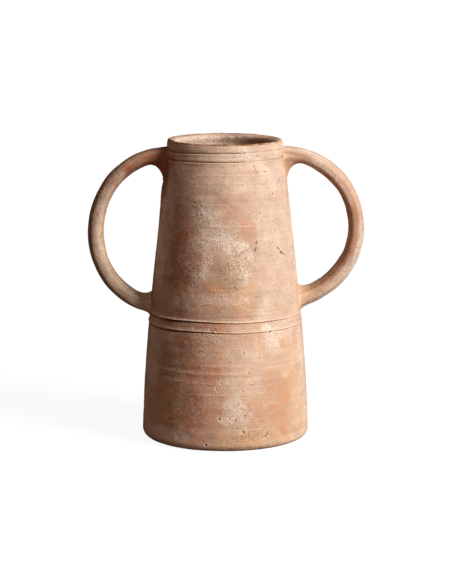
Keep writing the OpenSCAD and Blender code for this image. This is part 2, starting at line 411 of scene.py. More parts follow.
OCHRE = [
    (0, 60, 100, 74, 0.65), (-8, 146, 60, 18, 0.4), (0, 240, 50, 60, 0.2), (6, 173, 28, 11, 0.9),
    (-4, 190, 8, 15, 0.5), (8, 152, 26, 8, 0.5), (-74, 188, 8, 14, 0.9), (-68, 146, 14, 8, 0.9),
    (-44, 88, 12, 26, 0.9), (-42, 38, 15, 36, 1.1), (50, 62, 20, 50, 0.9), (14, 15, 22, 12, 1.0),
    (46, 92, 16, 18, 0.6), (-56, 180, 10, 40, 0.3), (22, 118, 20, 6, 0.4), (14, 60, 16, 60, 0.7),
    (0, 118, 18, 10, 0.6), (-14, 300, 12, 13, 0.5), (-12, 270, 10, 12, 0.3), (46, 18, 24, 12, 0.8),
    (82, 262, 8, 44, 0.8), (84, 185, 8, 60, 0.7),
]
SHADE = [
    (-47, 240, 5, 24, 0.4), (-45, 190, 6, 26, 0.2), (-4, 190, 6, 12, 0.3), (3, 181, 6, 5, 0.35),
    (12, 186, 4, 8, 0.3), (-16, 142, 36, 10, 0.4), (-30, 155, 7, 8, 0.3), (-58, 195, 7, 24, 0.2),
    (-68, 143, 12, 9, 0.4), (-20, 168, 14, 9, 0.18), (-20, 112, 12, 10, 0.18), (-20, 90, 10, 12, 0.22),
    (-24, 46, 9, 20, 0.18), (-13, 238, 11, 15, 0.3), (-76, 286, 10, 16, 0.45), (-46, 60, 12, 50, 0.1),
    (-48, 100, 12, 14, 0.3), (-26, 254, 7, 9, 0.35), (50, 205, 36, 105, 0.2), (0, 75, 7, 10, 0.25),
    (-32, 90, 8, 9, 0.25), (-60, 92, 8, 10, 0.3), (60, 14, 18, 8, 0.2),
]
DEEP = [
    (-72, 296, 15, 13, 0.85), (-66, 274, 8, 12, 0.5), (-74, 284, 9, 17, 1.3), (-70, 264, 5, 16, 0.5),
    (-38, 225, 8, 50, 0.25), (-26, 118, 12, 36, 0.25), (-22, 46, 12, 34, 0.18), (-30, 201, 8, 10, 0.5),
    (-24, 45, 9, 14, 0.35), (-20, 178, 9, 13, 0.3), (-31, 14, 11, 9, 0.6), (-78, 270, 7, 26, 1.3),
    (-28, 112, 11, 15, 0.7), (-27, 98, 6, 10, 0.3), (-18, 32, 8, 16, 0.25), (-36, 184, 9, 14, 0.4),
    (86, 290, 9, 10, 0.3), (-36, 238, 8, 16, 0.35),
]
PALE = [
    (0, 290, 36, 26, 0.5), (-16, 306, 36, 8, 0.8), (6, 30, 12, 10, 0.4), (16, 255, 20, 30, 0.2),
    (32, 105, 14, 22, 0.3), (52, 98, 16, 20, 0.3), (-16, 198, 4, 15, 0.3),
    # The last patch on the next line, at the foot on the left, is painted light thrown back from the floor
    (15, 188, 6, 16, 0.3), (-40, 14, 20, 7, 1.0),
]


def patches(angle, z, place, table, seed, size):
    """Soft-edged patches on the front, and noise of the same kind everywhere else."""
    ragged = fractal(place, (16, 16, 11), seed, 4)
    total = np.zeros(z.shape)
    for centre, height, reach, rise, strength in table:
        d = np.hypot(turned(angle, centre) / reach, (z - height) / rise)
        total = np.maximum(total, strength * ramp(-(d + 0.6 * ragged), -1.3, -0.5))
    elsewhere = ramp(fractal(place, size, seed + 7, 3), 0.0, 0.75)
    front = ramp(-np.abs(turned(angle, 0)), -88, -68)
    return np.maximum(total, elsewhere * (0.9 - 0.65 * front))


# Rough and smooth areas of the skin: angle, height, reach round, reach up, strength
ROUGH = [
    (0, 225, 24, 45, 0.55), (8, 190, 16, 24, 0.7), (8, 38, 14, 20, 0.6), (-20, 160, 40, 14, 0.7),
    (-6, 283, 30, 16, 0.5), (-40, 215, 24, 90, 1.5), (-34, 80, 18, 70, 0.9), (-20, 125, 30, 12, 1.0),
    (-15, 80, 20, 50, 0.6), (16, 12, 30, 12, 0.6), (-8, 306, 45, 16, 0.6),
]


# Each colour layer's patches, with the seed and the size of the ones that stand in for them elsewhere
LAYERS = {
    "bloom": (BLOOM, 61, (34, 34, 26)),
    "rust": (RUST, 71, (40, 40, 34)),
    "ochre": (OCHRE, 81, (50, 50, 36)),
    "shade": (SHADE, 91, (60, 60, 60)),
    "deep": (DEEP, 99, (90, 90, 90)),
}


def body_colours(angle, z, place, marks, grooves):
    """The attributes that the clay's material mixes its colours by."""
    patchy = ramp(noise(place, (14, 14, 60), 33), -0.7, 0.5)
    # The dark in grooves, pits and gouges is partly grime and partly painted shade. In the grooves it
    # grows at the front left, away from the light, and fades at the front right, where the light falls.
    groove_darkness = (0.35 + 0.5 * patchy + 0.3 * boldness(angle, z)) * (1 - 0.3 * shallowness(angle))
    in_groove = np.clip(-grooves / 1.2, 0, 1) * groove_darkness
    cavity = np.clip(-marks / 0.9, 0, 0.85) + in_groove
    # Raised burrs, beads and ridges turn pale: partly wear, partly a painted highlight
    wear_and_light = np.clip(marks / 0.15, 0, 1) * 0.5 + np.clip(grooves / 0.7, 0, 1) * 0.55
    wear_and_light = wear_and_light + patches(angle, z, place, PALE, 65, (45, 45, 30)) * 0.8
    return {
        **{layer: patches(angle, z, place, *drawn) for layer, drawn in LAYERS.items()},
        "dirt_and_shade": np.clip(cavity, 0, 1),
        "wear_and_light": np.clip(wear_and_light, 0, 1),
        "rough": 0.15 + 0.85 * patches(angle, z, place, ROUGH, 95, (40, 40, 40)),
    }


# ---- meshes

def quads(rows, columns, wrap_rows):
    """Quads of a grid whose columns run all the way round, and whose rows do too if wrap_rows is true."""
    i = np.arange(rows if wrap_rows else rows - 1)[:, None]
    j = np.arange(columns)[None, :]
    up, on = (i + 1) % rows, (j + 1) % columns
    corners = np.broadcast_arrays(i * columns + j, i * columns + on, up * columns + on, up * columns + j)
    return np.stack(corners, -1).reshape(-1, 4)


def fan(ring_start, columns, centre, flip):
    """Triangles from a ring of points to one centre point."""
    j = ring_start + np.arange(columns)
    on = ring_start + (np.arange(columns) + 1) % columns
    tip = np.full(columns, centre)
    return np.stack([on, j, tip] if flip else [j, on, tip], -1)


def volume(points, faces):
    """Six times the signed volume of a closed mesh of triangles and quads."""
    total = 0.0
    for face in faces:
        for k in range(1, face.shape[1] - 1):
            a, b, c = points[face[:, 0]], points[face[:, k]], points[face[:, k + 1]]
            total += np.einsum("ij,ij->i", a, np.cross(b, c)).sum()
    return total


def clay_mesh(name, grid, layers, closed):
    """A closed mesh from a grid of points in millimetres. Its last row joins its first (a ring of clay),
    or its two end rows are closed by fans (a bar of clay)."""
    rows, columns = grid.shape[:2]
    points = grid.reshape(-1, 3) / METRE
    layers = {key: values.reshape(-1) for key, values in layers.items()}
    faces = [quads(rows, columns, closed)]
    if not closed:
        ends = np.stack([points[:columns].mean(0), points[-columns:].mean(0)])
        faces.append(fan(0, columns, len(points), True))
        faces.append(fan((rows - 1) * columns, columns, len(points) + 1, False))
        points = np.concatenate([points, ends])
        layers = {key: np.append(values, [values[0], values[-1]]) for key, values in layers.items()}
    if volume(points, faces) < 0:
        faces = [face[:, ::-1] for face in faces]
    mesh = bpy.data.meshes.new(name)
    mesh.from_pydata(points.tolist(), [], [f for face in faces for f in face.tolist()])
    mesh.shade_smooth()
    mesh.set_sharp_from_angle(angle=math.radians(62))
    for key, values in layers.items():
        mesh.attributes.new(key, "FLOAT", "POINT").data.foreach_set("value", values.astype(np.float32))
    return mesh


def add_piece(node, mesh, material):
    """Puts a clay mesh in the place of its CAD node."""
    piece = bpy.data.objects.new("clay_" + node, mesh)
    bpy.context.scene.collection.objects.link(piece)
    mesh.materials.append(material)
    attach(piece, "root")
    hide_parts(node)
    return piece


# ---- the body's rings

FRONT_STEP, BACK_STEP = 0.42, 1.0
ANGLES = np.concatenate([np.arange(-FRONT, FRONT, FRONT_STEP), np.arange(FRONT, 360 - FRONT, BACK_STEP)])
COLUMNS = len(ANGLES)


def heights(low, high, step, fine):
    """Heights from low to high, packed closer near the seams."""
    found = [low]
    while found[-1] < high - 0.3 * fine:
        near = min(abs(found[-1] - seam) for seam in SEAMS)
        found.append(found[-1] + (fine if near < 4.5 else step))
    found[-1] = high
    return np.array(found)


def arc_points(r, z, radius, start, end, steps):
    """Points and outward directions along an arc in the plane of the profile."""
    a = np.radians(np.linspace(start, end, steps))
    return [(r + radius * c, z + radius * s, c, s) for c, s in zip(np.cos(a), np.sin(a))]


def outside_line(low, high):
    """Profile of the outside of the wall from low to high."""
    return [(float(wall_r(z)), z, 1.0, 0.0) for z in heights(low, high, 1.2, 0.38)]


def inside_line(low, high):
    """Profile of the inside of the wall from high down to low."""
    rows = max(4, int((high - low) / 10))
    return [(float(wall_r(z)) - WALL, z, -1.0, 0.0) for z in np.linspace(high, low, rows)]


class Skin:
    """The surface of a piece turned round the axis from a profile of radius, height and outward direction.
    Its rows from inside_from on face the hollow."""

    def __init__(self, profile, inside_from):
        profile = np.array(profile)
        self.angle = np.broadcast_to(ANGLES, (len(profile), COLUMNS))
        self.r, self.z, self.out, self.up = (np.repeat(profile[:, [i]], COLUMNS, 1) for i in range(4))
        self.place = body_point(self.angle, self.r, self.z)
        relief, marks, grooves = outside_relief(self.angle, self.z)
        hollow = 0.5 * noise(self.place, (120, 120, 9), 101) + 0.25 * noise(self.place, (60, 60, 4), 102)
        hollow = hollow + 0.25 * noise(self.place, 3.0, 103)
        inside = np.arange(len(profile))[:, None] >= inside_from
        self.relief = np.where(inside, hollow, relief)
        self.marks = np.where(inside, 0, marks)
        self.grooves = np.where(inside, 0, grooves)

    def grid(self, more=0.0):
        """Its points, moved out along their directions by the relief and by anything more."""
        relief = self.relief + more
        wave = 0.3 * noise(body_point(self.angle, 80, self.z), (60, 60, 200), 111) * ramp(self.z, 20, 60)
        return body_point(self.angle, self.r + self.out * relief, self.z + self.up * relief + wave)

    def colours(self, more_marks=0.0):
        """Its colour layers."""
        return body_colours(self.angle, self.z, self.place, self.marks + more_marks, self.grooves)


def ring_piece(node, low, high, material):
    """A ring of the wall: its outside from low to high, then its inside back down."""
    outside = outside_line(low, high)
    skin = Skin(outside + inside_line(low, high), len(outside))
    add_piece(node, clay_mesh(node, skin.grid(), skin.colours(), True), material)


def lip_colours(skin, nicks, ease_r):
    """The lip's colour layers: pale inside, with a dark patch at the right that is partly a stain and
    partly painted shade and darker deeper down, and soiled on top.
    """
    angle, z, place = skin.angle, skin.z, skin.place
    colours = skin.colours(0.7 * nicks)
    inside = (skin.out < 0) * ramp(HEIGHT - z, LIP_FALL, LIP_FALL + 3)
    # Inside the mouth, the dark patch at the right is partly a stain and partly painted shade, as that
    # side lies away from the light. The darkening deeper down, where the pale inside also fades, is
    # painted shade.
    deeper = ramp(HEIGHT - z, LIP_FALL, LIP_FALL + 9)
    from_dark_side = np.abs(turned(angle, 105))
    towards_dark_side = -from_dark_side + 14 * noise(place, 9, 106) + 24 * deeper
    stain_and_shade = inside * ramp(towards_dark_side, -110, -28) * (0.35 + 0.65 * deeper)
    specks = inside * ramp(noise(place, 2.2, 108), 0.3, 0.7) * ramp(-from_dark_side, -140, -70)
    greyed = 0.75 * inside * np.exp(-((turned(angle, -138) / 32) ** 2))
    on_top = ramp(skin.r, ease_r - 3, ease_r) * ramp(z, HEIGHT - LIP_FALL - 2, HEIGHT - LIP_FALL)
    front = ramp(-np.abs(turned(angle, -15)), -75, -45)
    soiled = on_top * np.clip(0.35 + 0.45 * front + 0.5 * noise(place, 4, 107), 0, 1)
    colours["shade"] = np.maximum(colours["shade"], np.maximum(stain_and_shade, greyed))
    colours["rust"] = np.maximum(colours["rust"], 0.5 * inside)
    colours["deep"] = np.maximum(colours["deep"], 0.4 * stain_and_shade)
    colours["bloom"] = np.maximum(colours["bloom"], inside * (0.85 - 0.45 * deeper)) * (1 - 0.8 * stain_and_shade)
    colours["dirt_and_shade"] = np.maximum(np.maximum(colours["dirt_and_shade"], 0.6 * specks), soiled)
    return colours


def lip_piece(material):
    """The top ring, whose crisp outer edge has nicks, and whose top falls to a softer inner edge."""
    edge_r, edge_z = float(wall_r(HEIGHT)) - LIP_EDGE, HEIGHT - LIP_EDGE
    ease_z = HEIGHT - LIP_FALL - LIP_EASE
    ease_r = float(wall_r(ease_z)) - WALL + LIP_EASE
    outside = outside_line(LIP_Z, edge_z - 0.4)
    edge = arc_points(edge_r, edge_z, LIP_EDGE, 0, 82, 12)
    eased = arc_points(ease_r, ease_z, LIP_EASE, 100, 180, 12)
    hollow_from = len(outside) + len(edge) + len(eased) - 3
    skin = Skin(outside + edge + eased + inside_line(LIP_Z, ease_z - 1), hollow_from)
    on_edge = np.exp(-(((skin.z - HEIGHT + 0.8) / 1.3) ** 2)) * ramp(skin.r, edge_r - 1.5, edge_r)
    nicks = nick_relief(skin.angle, skin.r) * on_edge
    uneven = 0.35 * noise(skin.place, 7, 105) * on_edge
    grid = skin.grid(nicks + uneven)
    sag = LIP_SAG * ramp(np.sin(np.radians(skin.angle)), 0.1, 1.0)
    grid[..., 2] -= sag * ramp(skin.z, LIP_Z, HEIGHT)
    mesh = clay_mesh("lip_ring", grid, lip_colours(skin, nicks, ease_r), True)
    add_piece("lip_ring", mesh, material)


def base_piece(material):
    """The floor disc, from the middle of its underside round its edge to the middle of the floor."""
    under = [(float(r), 0.0, 0.0, -1.0) for r in np.linspace(1, FOOT_R - FOOT_ROUND - 0.5, 40)]
    edge = arc_points(FOOT_R - FOOT_ROUND, FOOT_ROUND, FOOT_ROUND, -90, 0, 20)
    side = [(float(wall_r(z)), z, 1.0, 0.0) for z in np.linspace(FOOT_ROUND + 0.7, FLOOR_Z, 3)]
    top = [(float(r), FLOOR_Z, 0.0, 1.0) for r in np.linspace(FOOT_R - WALL, 1, 24)]
    skin = Skin(under + edge + side + top, len(under) + len(edge) + len(side))
    rests = np.arange(len(skin.z))[:, None] < len(under)
    skin.relief = np.where(rests, -0.15 - 0.1 * noise(skin.place, 6, 121), skin.relief)
    grid = skin.grid()
    grid[..., 2] = np.maximum(grid[..., 2], 0)
    add_piece("base_disc", clay_mesh("base_disc", grid, skin.colours(), False), material)


# ---- handles

HANDLE_T = 17.0
HANDLE_R = 83.0
HANDLE_POWER = 2.3
TOP_CUT, BOTTOM_CUT = 68.0, -55.0
HANDLE_W = box_mm("left_handle")[1][1] * 2
FACETS = 8
FACET_DEPTH = 0.014
# How each handle strays from its arc: arc angle, how far out it lies there, how much thicker inside
STRAY = {
    -1: [
        (-55, 0.3, 0), (-35, 0.9, 0), (-10, 0.2, 0), (10, 0.0, 0), (30, 0.9, 0), (45, 1.5, -0.4),
        (68, 1.5, -1.2),
    ],
    1: [
        (-55, -2.2, 2.4), (-35, -0.9, 1.8), (-20, -0.3, 0.3), (0, 0.0, 0), (30, 0.0, 0),
        (45, -0.9, -0.4), (68, -2.3, -1.2),
    ],
}
SECTION_POINTS = 120
SECTION_ANGLES = np.radians(np.arange(SECTION_POINTS) * 360 / SECTION_POINTS)
OUTWARD, BACKWARD = np.cos(SECTION_ANGLES), np.sin(SECTION_ANGLES)


def handle_centre(word, side):
    """Distance from the axis and height of a handle's arc centre, from the corners of its CAD node."""
    low, high = box_mm(word + "_handle")
    outermost = high[0] if side > 0 else -low[0]
    reach = HANDLE_R + HANDLE_T / 2
    return outermost - reach, high[2] - reach * math.sin(math.radians(TOP_CUT))


def filled_out(part, power):
    """A circle's cosines or sines with its corners filled out, where a power of 2 leaves it a circle."""
    return np.sign(part) * np.abs(part) ** (2 / power)


def section():
    """A handle's section as distances out and back from its arc: an oval with eight soft facets."""
    facets = 1 - FACET_DEPTH * np.cos(FACETS * SECTION_ANGLES)
    out = HANDLE_T / 2 * filled_out(OUTWARD, HANDLE_POWER) * facets
    return out, HANDLE_W / 2 * filled_out(BACKWARD, HANDLE_POWER) * facets


def stray(side, angle):
    """How far out a handle strays from its arc at an arc angle, and how much thicker it is inside."""
    angles, shift, thicker = zip(*STRAY[side])
    return np.interp(angle, angles, shift), np.interp(angle, angles, thicker)


def arc_row(side, centre, angle):
    """One ring of points round a handle's clay at an arc angle."""
    out, back = section()
    shift, thicker = stray(side, angle)
    a = math.radians(angle)
    radius = HANDLE_R + shift + np.where(out < 0, out * (1 + 2 * thicker / HANDLE_T), out)
    x = side * (centre[0] + radius * math.cos(a))
    return np.stack([x, back, centre[1] + radius * math.sin(a)], -1)


def handle_relief(grid):
    """Pushes a handle's points in and out along its surface: slow unevenness, grit and small pits."""
    push = 0.40 * noise(grid, 26, 131) + 0.14 * noise(grid, 8, 132) + 0.08 * noise(grid, 2.6, 133)
    pits = ramp(noise(grid, 3.1, 134), 0.84, 0.96)
    return grid + grid_normals(grid) * (push - 0.6 * pits)[..., None], pits


def grid_normals(grid):
    """Outward directions of a grid of points that is closed across its columns."""
    along = np.gradient(grid, axis=0)
    across = np.roll(grid, -1, axis=1) - np.roll(grid, 1, axis=1)
    normal = np.cross(along, across)
    normal /= np.linalg.norm(normal, axis=-1, keepdims=True) + 1e-12
    outward = grid - grid.mean(axis=1, keepdims=True)
    return normal if (outward * normal).sum() > 0 else -normal


def between(value, low, high, edge):
    """1 from low to high and 0 outside, with soft edges."""
    return ramp(value, low - edge, low + edge) * ramp(-value, -high - edge, -high + edge)


def handle_grain(arc):
    """Streaks along a handle, from -1 to 1, for points at the given arc angles."""
    axes = np.broadcast_arrays(OUTWARD * HANDLE_T / 2, BACKWARD * HANDLE_W / 2, np.radians(arc) * HANDLE_R)
    return fractal(np.stack(axes, -1), (3, 3, 44), 148, 2)


def left_stains_and_shade(arc, outward):
    """Colour layers of the left handle: a red top end, a pale inner band, painted shade on its outer side
    below the red end, which faces away from the light, a painted dark outline along its upper outer edge,
    painted shade in the crevice at the bottom root and painted light on that root's underside. They are
    bloom, rust, ochre, shade, deep, dirt_and_shade and wear_and_light."""
    red_end = between(arc - 5 * (outward + 0.9), 43.5, 110, 4)
    inner_band = between(outward, -0.75, -0.1, 0.25)
    # The pale at the bottom end is partly bloom and partly painted light on the root's underside
    bloom = between(arc, -62, 18, 10) * inner_band * 0.6 + between(arc, -110, -50, 14)
    bloom = bloom + between(arc, 18, 46, 8) * inner_band * 0.3
    rust = red_end * ramp(-outward, -0.75, -0.4) * 1.4
    ochre = ramp(-outward, 0.3, 0.8) * between(arc, -110, 50, 10) + between(arc, -75, -10, 12) * 0.4
    # Painted shade on the outer side, which faces away from the light; at the red end only on its outer
    # edge, and none at the bottom root
    outer_shade = ramp(outward, -0.45, 0.4) * (1 - red_end) + ramp(outward, 0.3, 0.75) * red_end
    shade = outer_shade * (0.85 - 0.85 * between(arc, -120, -58, 8)) + between(arc, 2, 44, 12) * 0.18
    deep = red_end * ramp(-outward, -0.7, 0.1) * 0.9
    # Painted shade in the crevice by the wall on the bottom root's inner side, and a painted dark outline
    # along the upper outer edge
    dirt_and_shade = 1.1 * between(arc, -120, -78, 5) * ramp(-outward, 0.2, 0.6)
    dirt_and_shade = dirt_and_shade + 0.75 * between(arc, 24, 120, 8) * ramp(outward, 0.6, 0.9)
    # The last layer, pale at the bottom root, is painted light on its underside
    return bloom, rust, ochre, shade, deep, dirt_and_shade, 0.4 * between(arc, -100, -62, 8)


def right_stains_and_shade(arc, outward):
    """Colour layers of the right handle, in the same order: pale outside, with painted shade on its outer
    edge where the light falls most, a dark red inside that is partly painted shade away from the light,
    and painted light on the bottom root's outer underside.
    """
    inner_edge = ramp(-outward, 0.3, 0.75)
    bloom = ramp(outward, -0.15, 0.55) * between(arc, -60, 30, 12)
    bloom = bloom + ramp(outward, 0.2, 0.7) * between(arc, 30, 95, 12) * 0.7
    bloom = bloom * (1 - 0.8 * between(arc, 0, 62, 10))
    bloom = bloom + between(arc, 30, 62, 8) * between(outward, -0.45, 0.45, 0.2) * 0.4
    rust = between(arc, -24, 54, 10) * between(outward, -0.8, 0.2, 0.25) * 1.1
    rust = rust + between(arc, 70, 120, 8) * 0.5
    rust = rust + between(arc, -8, 46, 10) * between(outward, 0.0, 0.8, 0.2) * 0.9
    ochre = between(arc, -110, -40, 10) * 0.7 + between(arc, 66, 120, 8) * ramp(-outward, -0.4, 0.2)
    # Painted shade on the inner side, away from the light, most of all in its lower half, and on the outer
    # edge where the light falls most, to soften its highlight
    shade = inner_edge * (0.15 * between(arc, -110, 66, 8) + 0.45 * between(arc, -66, 24, 10))
    shade = shade + inner_edge * between(arc, -66, -10, 10) * 0.2
    shade = shade + between(arc, -5, 64, 10) * ramp(outward, 0.55, 0.9) * 0.36
    # The inner side's dark red is partly painted shade away from the light
    deep = between(arc, -55, 58, 12) * ramp(-outward, 0.0, 0.65)
    deep = deep * (0.95 - 0.35 * between(arc, 28, 70, 8))
    # Painted light on the bottom end's outer underside, as if thrown back from the floor
    wear_and_light = between(arc, -120, -50, 8) * ramp(outward, 0.35, 0.8)
    wear_and_light = wear_and_light + between(arc, 26, 62, 6) * between(outward, -0.4, 0.3, 0.2) * 0.35
    return bloom, rust, ochre, shade, deep, 0.0, wear_and_light


def handle_colours(grid, side, arc, pits):
    """Colour layers of a handle or root, whose rows lie at the given arc angles."""
    arc = arc[:, None]
    grain = handle_grain(arc)
    arc = arc + 9 * noise(grid, 12, 144)
    outward = OUTWARD + 0.12 * noise(grid, 9, 145) + 0.12 * grain
    cloudy = 0.78 + 0.4 * fractal(grid, 8, 146, 4) + 0.3 * grain
    spots = ramp(fractal(grid, 7, 147), 0.25, 0.8)
    stains_and_shade = left_stains_and_shade(arc, outward) if side < 0 else right_stains_and_shade(arc, outward)
    bloom, rust, ochre, shade, deep, dirt_and_shade, wear_and_light = stains_and_shade
    return {
        "bloom": np.clip(bloom * cloudy, 0, 1),
        "rust": np.clip(rust * cloudy + 0.2 * spots, 0, 1),
        "ochre": np.clip(ochre * cloudy, 0, 1),
        "shade": np.clip(shade * cloudy + 0.06 * spots, 0, 1),
        "deep": np.clip(deep * cloudy, 0, 1),
        "dirt_and_shade": np.clip(pits + dirt_and_shade, 0, 1),
        "wear_and_light": wear_and_light,
        "rough": np.full(arc.shape, 0.6 if side < 0 else 0.4),
        "grain": 0.5 + 0.35 * grain,
    }


def handle_piece(word, side, centre, material):
    """A bar of clay bent round a handle's arc, from its bottom root to its top one."""
    arc = np.linspace(BOTTOM_CUT, TOP_CUT, 260)
    grid, pits = handle_relief(np.stack([arc_row(side, centre, a) for a in arc]))
    mesh = clay_mesh(word + "_handle", grid, handle_colours(grid, side, arc, pits), False)
    add_piece(word + "_handle", mesh, material)


# ---- handle roots

ROOT_ROWS = 56
# How far a root's edge is sunk into the wall
SUNK = 0.4
# Squareness of a root's outline on the wall
ROOT_POWER = 2.2
# How much of the arc's angle a root takes up, for its colour layers
ROOT_ARC = 28
# For each side and end of a handle: how far its root reaches along the wall on the arc's outer side, on
# its inner side and to either side, and how long it keeps the handle's heading and then the wall's, each
# on the outer side and on the inner
TOP_ROOT = dict(name="top", inner=31, across=18, ahead=(0.55, 0.45), along=(0.05, 0.48))
BOTTOM_ROOT = dict(name="bottom", inner=19, ahead=(0.6, 0.55))
ROOTS = {
    (-1, 1): dict(TOP_ROOT, outer=8.5),
    (-1, -1): dict(BOTTOM_ROOT, outer=11.0, across=16, along=(0.26, 0.24)),
    (1, 1): dict(TOP_ROOT, outer=7.5),
    (1, -1): dict(BOTTOM_ROOT, outer=15.5, across=17, along=(0.36, 0.24)),
}


def joint_height(centre, end, side):
    """Height at which the middle of a handle's arc meets the wall, at its top (1) or bottom (-1)."""
    radius = HANDLE_R + stray(side, end * 90)[0]
    z = centre[1] + end * HANDLE_R
    for _ in range(6):
        z = centre[1] + end * math.sqrt(radius**2 - (float(wall_r(z)) - centre[0]) ** 2)
    return z


def on_wall(side, across, z):
    """Points sunk into the wall's outside, at distances round it from the middle of a handle."""
    angle = side * (90 + np.degrees(across / wall_r(z)))
    relief, _, _ = outside_relief(angle, z)
    return body_point(angle, wall_r(z) + relief - SUNK, z)


def root_piece(word, side, end, centre, material):
    """Clay that flares from the end of a handle on to the wall, where its edge is smoothed flat. Each of
    its lines leaves the handle's end (first) along heading, and meets the wall (edge) along the wall."""
    shape = ROOTS[side, end]
    cut = TOP_CUT if end > 0 else BOTTOM_CUT
    first = arc_row(side, centre, cut)
    heading = (arc_row(side, centre, cut + end * 0.5) - first).mean(axis=0)
    heading /= np.linalg.norm(heading)
    reach = np.where(OUTWARD > 0, shape["outer"], shape["inner"])
    rise = end * reach * filled_out(OUTWARD, ROOT_POWER)
    across = shape["across"] * filled_out(BACKWARD, ROOT_POWER)
    joint = joint_height(centre, end, side)
    ragged = 1 + 0.06 * noise(np.stack([across, rise, 0 * rise + joint * side], -1), 6, 151)
    edge = on_wall(side, across * ragged, joint + rise * ragged)
    nearer = on_wall(side, across * ragged * 0.8, joint + rise * ragged * 0.8)
    along = edge - nearer
    along /= np.linalg.norm(along, axis=-1, keepdims=True)
    span = np.linalg.norm(edge - first, axis=-1, keepdims=True)
    outer_share = ((1 + OUTWARD) / 2)[:, None]
    keep_heading = shape["ahead"][1] + (shape["ahead"][0] - shape["ahead"][1]) * outer_share
    keep_wall = shape["along"][1] + (shape["along"][0] - shape["along"][1]) * outer_share
    p1 = first + heading * span * keep_heading
    p2 = edge - along * span * keep_wall
    t = np.linspace(0, 1, ROOT_ROWS)[:, None, None]
    grid = (1 - t) ** 3 * first + 3 * (1 - t) ** 2 * t * p1 + 3 * (1 - t) * t**2 * p2 + t**3 * edge
    moved, pits = handle_relief(grid)
    grid = grid + (moved - grid) * ramp(-t, -1.0, -0.85)
    arc = cut + end * ROOT_ARC * t[:, 0, 0]
    colours = handle_colours(grid, side, arc, pits)
    # Painted shade in the crease where the root meets the wall
    crease = ramp(t[..., 0], 0.93, 1.0) * (0.5 + 0.5 * noise(grid, 5, 152))
    colours["dirt_and_shade"] = np.clip(colours["dirt_and_shade"] + 0.7 * crease, 0, 1)
    node = "%s_%s_root" % (word, shape["name"])
    add_piece(node, clay_mesh(node, grid, colours, False), material)


# ---- materials

BASE = (0.632, 0.447, 0.334)
RUST_COLOUR = (0.52, 0.245, 0.143)
OCHRE_COLOUR = (0.645, 0.418, 0.238)
BLOOM_COLOUR = (0.79, 0.670, 0.570)
SHADE_COLOUR = (0.26, 0.165, 0.105)
DEEP_COLOUR = (0.36, 0.11, 0.06)
# Colour of grime and of painted shade in hollows, pores, creases and crevices
DIRT_AND_SHADE_COLOUR = (0.22, 0.085, 0.032)
# Colour of wear, of painted highlights on raised edges and of painted light on root undersides
WEAR_AND_LIGHT_COLOUR = (0.84, 0.655, 0.50)
GRIT_DARK = (0.54, 0.45, 0.38)
GRIT_LIGHT = (1.42, 1.44, 1.46)


class Tree:
    """Short hand for building a material's nodes."""

    def __init__(self, material):
        self.nodes = material.node_tree.nodes
        self.links = material.node_tree.links

    def add(self, kind, inputs=None, **settings):
        node = self.nodes.new(kind)
        for key, value in settings.items():
            setattr(node, key, value)
        for key, value in (inputs or {}).items():
            if isinstance(value, bpy.types.NodeSocket):
                self.links.new(value, node.inputs[key])
            else:
                node.inputs[key].default_value = value
        return node

    def attribute(self, name):
        return self.add("ShaderNodeAttribute", attribute_name=name).outputs["Fac"]

    def mix(self, share, a, b, blend="MIX"):
        node = self.add("ShaderNodeMix", data_type="RGBA", blend_type=blend)
        for socket, value in ((node.inputs[0], share), (node.inputs[6], a), (node.inputs[7], b)):
            if isinstance(value, bpy.types.NodeSocket):
                self.links.new(value, socket)
            elif isinstance(value, tuple):
                socket.default_value = (*value, 1)
            else:
                socket.default_value = value
        return node.outputs[2]

    def math(self, operation, a, b=0.0):
        return self.add("ShaderNodeMath", {0: a, 1: b}, operation=operation).outputs[0]

    def noise(self, vector, scale, detail=4.0, roughness=0.6):
        inputs = {"Vector": vector, "Scale": scale, "Detail": detail, "Roughness": roughness}
        return self.add("ShaderNodeTexNoise", inputs).outputs["Fac"]

    def spread(self, value, low, high, to_low=0.0, to_high=1.0):
        inputs = {"Value": value, "From Min": low, "From Max": high, "To Min": to_low, "To Max": to_high}
        return self.add("ShaderNodeMapRange", inputs).outputs["Result"]

    def stretched(self, vector, scale):
        return self.add("ShaderNodeMapping", {"Vector": vector, "Scale": scale}).outputs["Vector"]

    def scrape(self, vector, lean, shift):
        """Thin broken lines that lean by an angle from the horizontal, from 0 to 1."""
        inputs = {"Vector": vector, "Rotation": (0, math.radians(lean), 0), "Location": (shift, 0, 0)}
        turned_place = self.add("ShaderNodeMapping", inputs).outputs["Vector"]
        lines = self.noise(self.stretched(turned_place, (90, 25, 620)), 1.0, 1.0, 0.5)
        where = self.noise(vector, 55.0 + shift, 2.0, 0.5)
        return self.math("MULTIPLY", self.spread(lines, 0.60, 0.68), self.spread(where, 0.48, 0.58))


